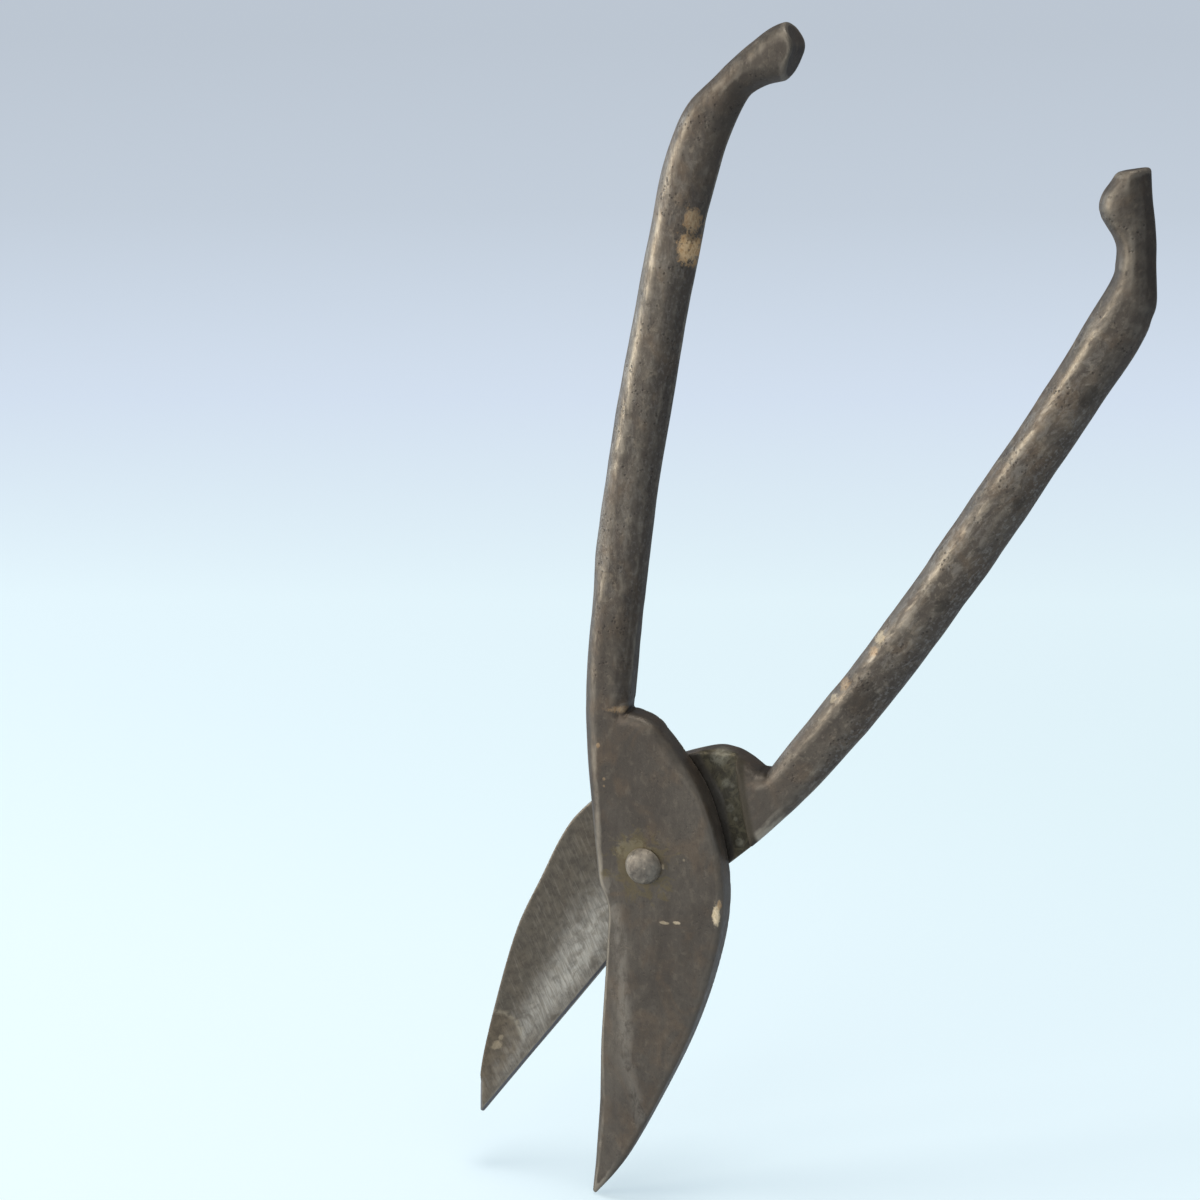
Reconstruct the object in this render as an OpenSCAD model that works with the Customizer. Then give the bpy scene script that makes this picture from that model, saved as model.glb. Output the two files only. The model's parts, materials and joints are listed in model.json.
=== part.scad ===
// Hand-forged metal-cutting shears (tinner's snips): two mating one-piece
// forgings, each a blade, a jaw plate and a handle, turning on one rivet.
// Frame: +Z up along the tool with the handles on top, -Y the front,
// origin on the ground under the middle of the tool's box.

/* [Whole tool] */
// Angle the rear half is swung about the pivot, degrees
opening = 41.3; // [19:0.1:60]
// Gap left between the two flat mating faces
face_gap = 0.1; // [0.04:0.02:0.3]
// Height of the pivot above the ground
pivot_z = 101; // [95:0.5:110]
// Sideways place of the pivot from the middle of the box
pivot_x = -37.7; // [-60:0.1:0]
// Front-to-back place of the mating plane from the middle of the box
pivot_y = -0.3; // [-5:0.05:5]

/* [Blade and jaw plate] */
// Thickness of the jaw plate
plate_thickness = 8; // [6:0.5:10]
// Distance from the pivot down to the blade tip
blade_length = 101; // [90:1:112]
// How far the tip lies outside the pivot
tip_x = -16.7; // [-19:0.1:-14]
// How much shorter the rear blade is ground
rear_trim = 4; // [0:0.5:5]
// How much rounder the shoulder of the rear half is
rear_shoulder = 1; // [0:0.1:1]
// Widest reach of the back of the blade from the pivot
spine_x = 22.3; // [20:0.5:26]
// Distance from the pivot out to the heel of the cutting edge
heel_x = -10.9; // [-14:0.1:-9]
// Slope of the grind on the outer face of the blade, degrees
grind_slope = 13.6; // [8:0.2:18]
// Turn of the grind line from the length of the tool, degrees
grind_turn = 9.3; // [4:0.1:14]
// Height of the top end of the grind line
grind_top = -19.5; // [-28:0.5:-12]

/* [Handle] */
// Width of the handle in the plane of the tool
handle_width = 13.9; // [12:0.2:17]
// Thickness of the handle, front to back
handle_thickness = 12.6; // [10:0.2:15]
// Height from the pivot at which the handle turns inwards
bend_z = 190; // [175:1:200]
// Width of the blunt knob at the end of the handle
knob_width = 13.6; // [12:0.2:15]
// How far the end of the front knob lies inside the pivot line
knob_x = 35.4; // [34:0.1:36]
// How much less the rear knob reaches in
rear_knob_back = 1.9; // [1.5:0.1:3]
// Sides of the handle's section
handle_sides = 24; // [16:4:36]

/* [Pivot] */
// Diameter of the rivet's shank
rivet_diameter = 7; // [5:0.5:9]
// Radial clearance of the shank in its bores
rivet_clearance = 0.05; // [0.02:0.01:0.1]
// Diameter of the rivet's front head
head_diameter = 10.2; // [9.5:0.1:13]
// Height of the rivet's front head
head_height = 3.6; // [2.4:0.1:4.5]
// Diameter of the washer behind the rear half
washer_diameter = 17; // [14:0.5:22]
// Thickness of the washer
washer_thickness = 1.6; // [1:0.1:2.5]
// Diameter of the hammered tail of the rivet
tail_diameter = 11; // [9.5:0.5:13]
// Height of the hammered tail of the rivet
tail_height = 2.6; // [1.8:0.1:4]

/* [Hidden] */

front_color = [0.33, 0.30, 0.26];
rear_color = [0.38, 0.35, 0.31];
rivet_color = [0.42, 0.38, 0.33];
washer_color = [0.30, 0.28, 0.25];

half_gap = face_gap / 2;
bore_radius = rivet_diameter / 2 + rivet_clearance;
bore_length = 60;                          // clears both faces of a half
washer_seat = plate_thickness + half_gap;  // y of the washer's front face
cut_over = 1;                              // overrun of the washer's bore
round_sides = 96;
bore_sides = 64;

root_thickness = handle_thickness - 0.4;
handle_y = -(plate_thickness - handle_thickness / 2); // lower handle, flush with the outer face

// Chamfer on the outer side of the jaw
chamfer_x = heel_x - 1.8;
chamfer_bottom = -2;
chamfer_turn = 5.4;
chamfer_slope = 52;

plate_steps = 4;     // curve steps to a span
handle_steps = 3;    // also for the root
dome_steps = 8;
dome_rim_part = 0.36; // part of a dome's height that is straight rim

// Catmull-Rom point between b and c at t, for points of any length
function spline_point(a, b, c, d, t) =
    0.5 * ((2 * b) + (c - a) * t
    + (2 * a - 5 * b + 4 * c - d) * t * t
    + (3 * b - a - 3 * c + d) * t * t * t);

// A smooth open curve through the points
function smooth(points, steps) =
    let (last = len(points) - 1) [
        for (i = [0 : last - 1]) for (k = [0 : steps - 1])
            spline_point(points[max(i - 1, 0)], points[i], points[i + 1],
                points[min(i + 2, last)], k / steps),
        points[last]];

function reversed(points) = [for (k = [len(points) - 1 : -1 : 0]) points[k]];

// Outlines are [across, up] from the pivot; shoulder rounds the shoulder.
// Back of the blade, from the handle notch over the shoulder to the tip
function back_line(length, shoulder) = [
    [-5 + 0.8 * shoulder, 42.2 - 1.8 * shoulder],
    [-0.4 + shoulder, 41.5 - 1.7 * shoulder],
    [4.4 + 0.6 * shoulder, 38.2],
    [9.2 + 0.5 * shoulder, 32.4 + 1.5 * shoulder],
    [16.2, 20.5 + 0.5 * shoulder],
    [spine_x - 1.1, 4], [spine_x, -11], [spine_x - 2.9, -28],
    [spine_x - 9.2, -length * 0.475], [3.4, -length * 0.69],
    [-6.8, -length * 0.885], [tip_x + 1.2, -length]];

// Jaw's outer side, from the top of the straight cutting edge round the
// heel notch to the handle
jaw_line = [
    [heel_x - 0.8, -33], [heel_x - 0.1, -22], [heel_x + 0.3, -15],
    [heel_x - 0.5, -10.5], [heel_x - 2.2, -6.5], [heel_x - 3.4, 2],
    [heel_x - 4.8, 13], [heel_x - 6.2, 26], [-17.9, 38]];

module plate_shape(length, shoulder)
    polygon(concat(
        smooth(back_line(length, shoulder), plate_steps),
        [[tip_x, -length]],
        smooth(jaw_line, plate_steps),
        [[-16.5, 45], [-8, 46]]));

// Thick root of the handle: everything above the slanting step in which the
// other half's shoulder lies when the tool is closed
module root_shape(shoulder)
    polygon(concat(
        smooth([[-17.1, 23.3], [-13.1, 26.2], [-6.4, 31.4], [-1.4, 35.5],
            [0.5 + 2.6 * shoulder, 37.2 + 2 * shoulder]], handle_steps),
        [[-0.6 + shoulder, 38.8 + 1.2 * shoulder],
         [-2.8, 39.9 + 0.2 * shoulder], [-5.2, 42 - 0.5 * shoulder],
         [-8, 45], [-16.5, 45], [-17.9, 38], [-17.6, 31]]));

// Stands an [across, up] shape upright, from front_y back to back_y
module in_plane(front_y, back_y)
    translate([0, back_y, 0]) rotate([90, 0, 0])
        linear_extrude(height = back_y - front_y) children();

// Handle stations: across, up, middle front-to-back, width, thickness,
// squareness of the section
function handle_line(knob_back) =
    let (wide = handle_width, thick = handle_thickness) [
    [-12.0, 33, handle_y, 11, thick, 6],
    [-11.8, 42, handle_y, 12.4, thick, 5],
    [-11.2, 52, handle_y, 13.2, thick, 4],
    [-9.6, 72, handle_y + 0.1, wide - 0.3, thick, 3.2],
    [-6.2, 100, handle_y + 0.5, wide, thick, 2.7],
    [-1.9, 127, handle_y + 0.9, wide, thick, 2.5],
    [2.5, 152, handle_y + 1.3, wide, thick, 2.4],
    [7.3 - 0.15 * knob_back, 176, -0.2, wide, thick, 2.4],
    [10.9 - 0.4 * knob_back, bend_z, 0, wide + 0.2, thick - 0.2, 2.4],
    [14.7 - 0.6 * knob_back, bend_z + 8.6, 0, wide - 0.5, thick - 0.5, 2.4],
    [19.4 - 0.8 * knob_back, bend_z + 15, 0, wide - 2.5, thick - 0.8, 2.4],
    [23.8 - 0.9 * knob_back, bend_z + 18.8, 0, wide - 3, thick - 0.6, 2.5],
    [knob_x - 8.4 - knob_back, bend_z + 21.6, 0, knob_width - 1.2, thick + 0.2, 2.6],
    [knob_x - 4.8 - knob_back, bend_z + 23.6, 0, knob_width - 0.4, thick + 0.8, 2.8],
    [knob_x - 2.7 - knob_back, bend_z + 26.2, 0, knob_width - 2.6, thick - 0.4, 2.8],
    [knob_x - 0.8 - knob_back, bend_z + 29.8, 0, knob_width - 6.2, thick - 3.2, 2.6]];

function signed_pow(x, power) = sign(x) * pow(abs(x), power);

// Ring of points at one station: a rounded oblong square to the centre line
function ring(station, along) = [
    for (k = [0 : handle_sides - 1])
        let (angle = 360 * k / handle_sides, power = 2 / station[5],
            side = signed_pow(cos(angle), power) * station[3] / 2,
            depth = signed_pow(sin(angle), power) * station[4] / 2)
        [station[0] + side * along[1], station[2] + depth, station[1] - side * along[0]]];

// Unit direction of the centre line at station i
function heading(line, i) =
    let (before = line[max(i - 1, 0)], after = line[min(i + 1, len(line) - 1)],
        step = [after[0] - before[0], after[1] - before[1]])
    step / norm(step);

module handle_bar(knob_back) {
    line = smooth(handle_line(knob_back), handle_steps);
    last = len(line) - 1;
    sides = handle_sides;
    polyhedron(
        points = [for (i = [0 : last]) each ring(line[i], heading(line, i))],
        faces = concat(
            [for (i = [0 : last - 1]) for (k = [0 : sides - 1])
                let (low = i * sides, high = low + sides, next = (k + 1) % sides)
                each [[low + k, high + k, low + next],
                      [low + next, high + k, high + next]]],
            [[for (k = [0 : sides - 1]) k]],
            [[for (k = [0 : sides - 1]) last * sides + sides - 1 - k]]),
        convexity = 6);
}

// Block that takes a sloping slice off the outer face, outside a line
// through [x, z]; it reaches from bottom up by height along that line
module slice(x, z, turn, slope, bottom, height)
    translate([x, -plate_thickness, z]) rotate([0, -turn, 0]) rotate([0, 0, -slope])
        children_block(bottom, height);

// The slice's block, its cutting face on y = 0
module children_block(bottom, height)
    translate([bottom[0], bottom[1], bottom[2]]) cube([90, 30, height]);

// The grind along the cutting edge
module grind_cut()
    slice(heel_x + 1.4, grind_top, grind_turn, grind_slope, [-60, -30, -140], 180);

// A long chamfer down the outer side of the jaw, fading into the heel
module jaw_chamfer()
    slice(chamfer_x, chamfer_bottom, chamfer_turn, chamfer_slope, [-30, -30, -2], 60);

// One half, pivot at the origin, flat mating face on the y = 0 side
module half(length, knob_back, shoulder)
    difference() {
        union() {
            difference() {
                in_plane(-plate_thickness, -half_gap) plate_shape(length, shoulder);
                grind_cut();
                jaw_chamfer();
            }
            difference() {
                in_plane(-plate_thickness, -plate_thickness + root_thickness)
                    root_shape(shoulder);
                jaw_chamfer();
            }
            handle_bar(knob_back);
        }
        rotate([90, 0, 0])
            cylinder(r = bore_radius, h = bore_length, center = true, $fn = bore_sides);
    }

module at_pivot() translate([pivot_x, pivot_y, pivot_z]) children();

module front_blade_and_handle()
    color(front_color) at_pivot() half(blade_length, 0, 0);

// The same forging turned to face the front half, then swung open
module rear_blade_and_handle()
    color(rear_color) at_pivot() rotate([0, opening, 0]) rotate([0, 0, 180])
        half(blade_length - rear_trim, rear_knob_back, rear_shoulder);

// [radius, height above the seat] of a low dome, from its seat up: a short
// straight rim, then a spherical cap without its top point
function dome_line(diameter, height) =
    let (rim = height * dome_rim_part, cap = height - rim,
        radius = (diameter * diameter / 4 + cap * cap) / (2 * cap),
        half_angle = asin(diameter / 2 / radius))
    concat([[diameter / 2, 0]],
        [for (k = [0 : dome_steps - 1])
            let (angle = half_angle * (1 - k / dome_steps))
            [radius * sin(angle), rim + cap - radius * (1 - cos(angle))]]);

// One turned profile: front head, shank and hammered tail
module pivot_rivet() {
    head_seat = -plate_thickness;
    tail_seat = washer_seat + washer_thickness;
    color(rivet_color) at_pivot() rotate([-90, 0, 0]) rotate_extrude($fn = round_sides)
        polygon(concat(
            [[0, head_seat - head_height]],
            [for (p = reversed(dome_line(head_diameter, head_height)))
                [p[0], head_seat - p[1]]],
            [[rivet_diameter / 2, head_seat], [rivet_diameter / 2, tail_seat]],
            [for (p = dome_line(tail_diameter, tail_height)) [p[0], tail_seat + p[1]]],
            [[0, tail_seat + tail_height]]));
}

module rivet_washer()
    color(washer_color) at_pivot() translate([0, washer_seat, 0])
        rotate([-90, 0, 0]) difference() {
            cylinder(d = washer_diameter, h = washer_thickness, $fn = round_sides);
            translate([0, 0, -cut_over])
                cylinder(r = bore_radius, h = washer_thickness + 2 * cut_over,
                    $fn = bore_sides);
        }

front_blade_and_handle();
rear_blade_and_handle();
pivot_rivet();
rivet_washer();
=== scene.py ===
"""Hand-forged tinner's snips: two crossed forgings, a hammered rivet and its washer.

The pivot axis runs along Y, the blades point down and the handles up.  Each half is
one forging, modelled as a solid distance field in its own frame: pivot at the origin,
mating plane at y = 0, outer side toward -Y, handle toward +Z, cutting edge on the left
(-X).  The rear half is then turned to face the front one and opened.  Modelling
lengths are millimetres; the objects are made in metres.
"""
import json
import math

import bpy
import numpy as np
from mathutils import Matrix, Vector


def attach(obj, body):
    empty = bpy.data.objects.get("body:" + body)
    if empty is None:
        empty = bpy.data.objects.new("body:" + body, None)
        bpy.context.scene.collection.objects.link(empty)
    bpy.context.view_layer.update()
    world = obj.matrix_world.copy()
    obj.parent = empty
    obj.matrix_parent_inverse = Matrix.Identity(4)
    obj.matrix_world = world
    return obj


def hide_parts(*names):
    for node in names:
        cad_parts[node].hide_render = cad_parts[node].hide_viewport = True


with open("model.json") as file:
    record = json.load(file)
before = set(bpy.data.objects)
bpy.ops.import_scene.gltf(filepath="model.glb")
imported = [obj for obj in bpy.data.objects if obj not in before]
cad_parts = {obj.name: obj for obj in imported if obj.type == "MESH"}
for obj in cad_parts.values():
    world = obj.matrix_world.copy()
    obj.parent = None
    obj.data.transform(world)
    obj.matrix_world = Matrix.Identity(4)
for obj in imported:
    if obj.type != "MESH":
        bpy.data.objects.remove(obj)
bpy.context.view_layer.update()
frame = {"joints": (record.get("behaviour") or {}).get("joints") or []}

MM_PER_M = 1000.0
PIVOT = np.array(frame["joints"][0]["pos_m"], float) * MM_PER_M
OPEN = math.radians(41.3)          # rear half's turn from its mirrored place
SQRT_HALF = .7071

# ---------------------------------------------------------------- forging dimensions
FORGING_CELL = .465                # mesh spacing
FORGING_BOX = (-19.6, -9.17, -102.3), (39.8, 7.6, 224.2)
PLAN_CELL = .25                    # spacing of the plan fields
OUTER_FACE = -8.0                  # y of the plates' outer flat
MATING_GAP = .05                   # the mating face lies this far short of y = 0
BORE_RADIUS = 3.62
GRIND_ANGLE = math.radians(13.6)
FRONT_TOP = 221.40                 # height at which the front knob is cut off

# (x, z) up the jaw side, from the blade to the root of the handle
JAW = [(-11.7, -33), (-11.0, -22), (-10.6, -15), (-11.4, -10.5), (-13.1, -6.5),
       (-14.3, 2), (-15.7, 13), (-17.1, 26), (-17.85, 38)]
# lower back of the blade, toward the point: x, and depth as a share of the blade length
BLADE_BACK = [(13.1, .475), (3.4, .69), (-6.8, .885), (-15.5, 1)]
# handle bar: x and z of the centre line, and width
HANDLE = [(-11.8, 42, 12.3), (-11.2, 52, 13.2), (-9.6, 72, 13.6), (-6.2, 100, 13.9),
          (-1.9, 127, 13.9), (2.5, 152, 13.9), (7.3, 176, 13.9), (10.9, 190, 14.0),
          (14.7, 198.6, 13.3)]
# where the thick root's step crosses the plate, left to right
STEP_WALL = [(-24.0, 18.6), (-17.1, 23.7), (-13.1, 26.4), (-6.4, 31.4), (-1.4, 35.5)]
SPINE_START = [(-10, -110), (3, -40), (3, 0), (-4, 28)]
SPINE_END = [(18.6, 204.4), (23.5, 208.8), (27.5, 211.8), (35, 216), (41, 219.5)]

# What differs between the halves.  Outlines are (x, z); shift (leftward) and widen
# apply to the handle stations, of which the sides use only the first `stations`.
FRONT = dict(
    blade=101.0,
    back=[(-5, 41.7), (-.8, 40.9), (2.6, 39.0), (4.4, 36.9), (9.0, 31.4), (16.2, 20.4),
          (21.2, 4), (22.3, -11), (19.4, -28)],
    shift=[0, 0, 0, .22, .22, .22, .22, .22, .22],
    widen=[0, .1, .3, .5, .6, .6, .6, .7, .7],
    stations=(9, 9),               # left, right
    knob_left=[(16.0, 209.2), (20.2, 213.0), (24.3, 216.2), (28.2, 219.1), (31.2, 220.8),
               (34.0, 221.75), (38.0, 222.7)],
    knob_end=[(41.5, 222.0), (42.0, 215.0), (41.5, 208.6)],
    knob_right=[(37.5, 207.6), (34.8, 207.0), (32.4, 206.5), (29.2, 205.7), (26.2, 204.2),
                (24.0, 202.0)],
    wall_end=(.5, 37.2),
    wall_turn=[(-.6, 38.8), (-2.8, 39.9), (-4.3, 41.3), (-4.0, 44.0), (0, 50)])
REAR = dict(
    blade=97.0,
    back=[(-4.2, 40.4), (.6, 39.8), (5.0, 38.2), (9.7, 33.9), (16.3, 21.0), (21.5, 5.0),
          (23.0, -7.0), (21.8, -16.4), (18.2, -29.0)],
    shift=[0, 0, 0, 0, 0, 0, .285, .76, 1.14],
    widen=[0, .1, .3, .4, .5, .5, .5, .5, .4],
    stations=(7, 8),
    knob_left=[(3.0, 192.9), (4.9, 197.9), (6.4, 201.0), (9.6, 204.5), (14.0, 208.8),
               (19.2, 213.8), (24.7, 218.4), (30.0, 222.9), (34.0, 226.5)],
    knob_end=[(38.0, 226.5), (37.8, 222.0), (36.4, 218.0), (35.7, 215.0), (35.2, 211.6),
              (34.2, 209.2), (33.0, 207.7)],
    knob_right=[(31.2, 206.6), (28.6, 205.9), (25.9, 205.1), (23.5, 203.7), (21.3, 201.0),
                (19.6, 198.0)],
    wall_end=(3.1, 39.2),
    wall_turn=[(12, 46.5)])

# Section along the half: lengths, then y of the flats
FLAT_AT = [-200, 45, 60, 100, 127, 152, 176, 190, 207, 216, 226, 234, 242]
FRONT_FLAT = [OUTER_FACE, OUTER_FACE, -7.95, -7.5, -7.1, -6.7, -6.5, -6.3, -6.0, -6.1, -6.5,
              -6.55, -6.2]
BACK_FLAT = [4.2, 4.2, 4.55, 5.1, 5.5, 5.9, 6.1, 6.2, 6.0, 6.1, 6.5, 6.55, 6.2]
# Chamfers: lengths, then for each flat the left cut, right cut and cut at the shoulder
CHAMFER_AT = [-30, -12, -5, 6, 17, 40, 60, 100, 150, 200, 222, 233, 240]
FRONT_CHAMFER = ([.15, .2, .7, 1.5, 2.3, 3.0, 3.2, 3.4, 3.5, 3.4, 2.3, 2.2, 2.4],
                 [.5, .6, .6, .7, .8, 2.8, 2.8, 3.0, 3.4, 3.5, 3.0, 2.6, 2.6], .8)
BACK_CHAMFER = ([.1, .1, .1, .1, .3, 2.2, 3.0, 3.4, 3.5, 3.5, 3.0, 2.6, 2.6],
                [.1, .1, .1, .1, .3, 2.3, 3.0, 3.4, 3.5, 3.5, 3.0, 2.6, 2.6], 2.2)
# Rounding of the arrises, and crown of the flats, by length
ROUNDING = ([-30, 0, 40, 60, 100, 150, 190, 206, 222, 240],
            [.9, 1.0, 1.2, 1.6, 2.4, 2.8, 3.1, 3.8, 3.8, 2.8])
CROWN = [40, 90, 150, 240], [0, .25, .45, .4]
# Where the grind meets the outer flat (z, x), and how softly (z, rounding)
GRIND_LINE = ([-110, -90, -76, -68, -57, -39, -22, -12, 0],
              [4.6, 3.4, 1.6, -.4, -3.0, -3.9, -4.9, -7.0, -11.0])
GRIND_ROUNDING = [-102, -92, -72, -52], [.5, 2.0, 3.0, .5]

# Marks on the rear blade's mating face
RUB_CENTRE = [-96, -79, -69, -59, -49, -33, -20], [-13.0, -10.8, -8.8, -7.6, -6.5, -3.2, -1.0]
RUB_WIDTH = [-96, -79, -59, -33, -20], [1.9, 3.2, 4.4, 6.2, 6.2]
RUB_STRENGTH = [-98, -88, -60, -45, -30, -12], [0, .35, .75, 1, .95, .45]
PATINA_TOP = [-14, -9, -5.2, -1.5, 1.5, 5], [-72.5, -69.6, -67.6, -68.4, -70.8, -75.5]  # x, z
PATINA_LEFT = [-97, -70], [-15.8, -10.5]                                                # z, x
# Where the front plate's edge crosses the rear's inner face (x, z): painted shadow below it, old
# oil above
PLATE_EDGE_LINE = [-18, -13.8, -7.4, -1.2, 7.1, 10.7, 14], [15, 19.0, 23.6, 28.0, 30.4, 31.9, 33]


# ---------------------------------------------------------------- curves and fields
def curve(points, steps=6):
    """Catmull-Rom curve through the points, with so many steps to a span."""
    points = np.asarray(points, float)
    last = len(points) - 1
    out = []
    for i in range(last):
        before, start = points[max(i - 1, 0)], points[i]
        end, after = points[i + 1], points[min(i + 2, last)]
        for k in range(steps):
            t = k / steps
            out.append(0.5 * (2 * start + (end - before) * t
                              + (2 * before - 5 * start + 4 * end - after) * t * t
                              + (3 * start - before - 3 * end + after) * t ** 3))
    out.append(points[-1])
    return np.array(out)


def polygon_field(polygon, xs, zs, reach=11.0):
    """Signed distance to a closed polygon on the grid xs by zs, cut off at reach."""
    starts, ends = polygon, np.roll(polygon, -1, 0)
    tops = np.maximum(starts[:, 1], ends[:, 1])
    bottoms = np.minimum(starts[:, 1], ends[:, 1])
    out = np.full((len(xs), len(zs)), reach, np.float32)
    x = xs[:, None]
    for k in range(0, len(zs), 32):
        z = zs[None, k:k + 32]
        near = (tops >= z[0, 0] - reach) & (bottoms <= z[0, -1] + reach)
        nearest = np.full((len(xs), z.shape[1]), reach * reach)
        inside = np.zeros(nearest.shape, bool)
        for (ax, az), (bx, bz) in zip(starts[near], ends[near]):
            dx, dz = bx - ax, bz - az
            square = dx * dx + dz * dz
            if square < 1e-12:
                continue
            t = np.clip(((x - ax) * dx + (z - az) * dz) / square, 0, 1)
            nearest = np.minimum(nearest, (x - ax - t * dx) ** 2 + (z - az - t * dz) ** 2)
            if dz != 0:
                inside ^= ((az > z) != (bz > z)) & (x < ax + (z - az) * dx / dz)
        distance = np.sqrt(nearest)
        out[:, k:k + 32] = np.where(inside, -distance, distance)
    return out


def spine_fields(spine, arc, spans, xs, zs):
    """Length along the spine, and offset to its right, on the grid xs by zs."""
    grid_x, grid_z = np.meshgrid(xs, zs, indexing="ij")
    along = np.zeros(grid_x.shape, np.float32)
    across = np.zeros(grid_x.shape, np.float32)
    for k in range(0, len(zs), 16):
        rows = slice(k, k + 16)
        x, z = grid_x[:, rows], grid_z[:, rows]
        ends = np.array([z[0, 0], z[0, -1]])[None]
        near = np.where(np.abs(spine[:, 1][:, None] - ends).min(1) < 45)[0]
        nearest = np.full(x.shape, 1e9)
        for i in near[near < len(spine) - 1]:
            (ax, az), span = spine[i], spine[i + 1] - spine[i]
            t = np.clip(((x - ax) * span[0] + (z - az) * span[1]) / (span @ span), 0, 1)
            off_x, off_z = x - ax - t * span[0], z - az - t * span[1]
            square = off_x * off_x + off_z * off_z
            closer = square < nearest
            nearest = np.where(closer, square, nearest)
            side = np.sign(off_x * span[1] - off_z * span[0])
            along[:, rows] = np.where(closer, arc[i] + t * spans[i], along[:, rows])
            across[:, rows] = np.where(closer, side * np.sqrt(square), across[:, rows])
    return along, across


class PlanField:
    """A function of x and z kept on a grid, read back by bilinear interpolation."""

    def __init__(self, xs, zs, values):
        self.x0, self.z0, self.cell = xs[0], zs[0], xs[1] - xs[0]
        self.values = values

    def __call__(self, x, z):
        values = self.values
        x = np.clip((x - self.x0) / self.cell, 0, values.shape[0] - 1.001)
        z = np.clip((z - self.z0) / self.cell, 0, values.shape[1] - 1.001)
        i, k = x.astype(int), z.astype(int)
        u, w = x - i, z - k
        return ((values[i, k] * (1 - u) + values[i + 1, k] * u) * (1 - w)
                + (values[i, k + 1] * (1 - u) + values[i + 1, k + 1] * u) * w)


def soft_max(a, b, reach):
    h = np.maximum(reach - np.abs(a - b), 0) / reach
    return np.maximum(a, b) + h * h * reach * 0.25


def soft_min(a, b, reach):
    h = np.maximum(reach - np.abs(a - b), 0) / reach
    return np.minimum(a, b) - h * h * reach * 0.25


def ease(x, start, end):
    """Smooth step from 0 at start to 1 at end; start may be the larger."""
    t = np.clip((x - start) / (end - start), 0, 1)
    return t * t * (3 - 2 * t)


def bell(x, centre, width):
    return np.exp(-((x - centre) / width) ** 2)


RNG = np.random.RandomState(4117)
PERM = np.concatenate([RNG.permutation(256)] * 2)
VALUES = RNG.uniform(-1, 1, 256)


def noise(points, cell, seed):
    """Smooth value noise in -1..1 with cells of the given size."""
    scaled = points / np.asarray(cell, float) + seed * 17.31
    i = np.floor(scaled).astype(int)
    f = scaled - i
    f = f * f * f * (f * (6 * f - 15) + 10)
    total = 0
    for dx, dy, dz in np.ndindex(2, 2, 2):
        key = PERM[(i[:, 0] + dx) & 255]
        key = PERM[(key + i[:, 1] + dy) & 255]
        key = PERM[(key + i[:, 2] + dz) & 255]
        weight = ((f[:, 0] if dx else 1 - f[:, 0]) * (f[:, 1] if dy else 1 - f[:, 1])
                  * (f[:, 2] if dz else 1 - f[:, 2]))
        total = total + VALUES[key] * weight
    return total


# ---------------------------------------------------------------- meshing
def surface_nets(field, low, high, cell):
    """Points and quads of field = 0 over a box; field(x, y, z) takes broadcastable arrays."""
    size = [int(math.ceil((high[k] - low[k]) / cell)) + 1 for k in range(3)]
    xs, ys, zs = (low[k] + cell * np.arange(size[k]) for k in range(3))
    values = np.empty(size, np.float32)
    for k in range(0, size[2], 48):
        values[:, :, k:k + 48] = field(xs[:, None, None], ys[None, :, None],
                                       zs[None, None, k:k + 48])
    inside = values < 0

    # One vertex to each cell the surface crosses, at the mean of its edge crossings
    total = np.zeros([m - 1 for m in size], np.uint8)
    for a, b, c in np.ndindex(2, 2, 2):
        total += inside[a:size[0] - 1 + a, b:size[1] - 1 + b, c:size[2] - 1 + c]
    active = (total > 0) & (total < 8)
    cells = np.argwhere(active)
    ident = np.full(active.shape, -1, np.int64)
    ident[active] = np.arange(len(cells))
    sums = np.zeros((len(cells), 3))
    counts = np.zeros(len(cells))
    for corner in np.ndindex(2, 2, 2):
        for axis in range(3):
            if corner[axis]:
                continue
            other = list(corner)
            other[axis] = 1
            start, end = (values[cells[:, 0] + p[0], cells[:, 1] + p[1], cells[:, 2] + p[2]]
                          for p in (corner, other))
            crossed = (start < 0) != (end < 0)
            t = start[crossed] / (start[crossed] - end[crossed])
            place = np.tile(np.array(corner, float), (crossed.sum(), 1))
            place[:, axis] += t
            sums[crossed] += place
            counts[crossed] += 1
    points = np.array(low) + cell * (cells + sums / counts[:, None])

    # One quad round each grid edge the surface crosses
    quads = []
    for axis in range(3):
        u, w = [(1, 2), (2, 0), (0, 1)][axis]
        lower, upper = [slice(None)] * 3, [slice(None)] * 3
        lower[axis], upper[axis] = slice(0, size[axis] - 1), slice(1, size[axis])
        edges = np.argwhere(inside[tuple(lower)] != inside[tuple(upper)])
        edges = edges[(edges[:, u] > 0) & (edges[:, w] > 0)
                      & (edges[:, u] < size[u] - 1) & (edges[:, w] < size[w] - 1)]
        first = inside[edges[:, 0], edges[:, 1], edges[:, 2]]
        ring = []
        for du, dw in ((-1, -1), (0, -1), (0, 0), (-1, 0)):
            around = edges.copy()
            around[:, u] += du
            around[:, w] += dw
            ring.append(ident[around[:, 0], around[:, 1], around[:, 2]])
        ring = np.stack(ring, 1)
        ring[~first] = ring[~first][:, ::-1]
        quads.append(ring)
    return points, np.concatenate(quads)


def mesh_edges(quads, count):
    """Both ends of every edge, once each, and each vertex's number of edges."""
    edges = np.concatenate([quads[:, [k, (k + 1) % 4]] for k in range(4)])
    edges = np.unique(np.sort(edges, 1), axis=0)
    return edges, np.bincount(edges.ravel(), minlength=count).astype(float)


def average(points, edges, degree):
    """Mean of each vertex's neighbours."""
    out = np.zeros_like(points)
    for k in range(points.shape[1]):
        out[:, k] = (np.bincount(edges[:, 0], points[edges[:, 1], k], len(points))
                     + np.bincount(edges[:, 1], points[edges[:, 0], k], len(points)))
    return out / degree[:, None]


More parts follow.
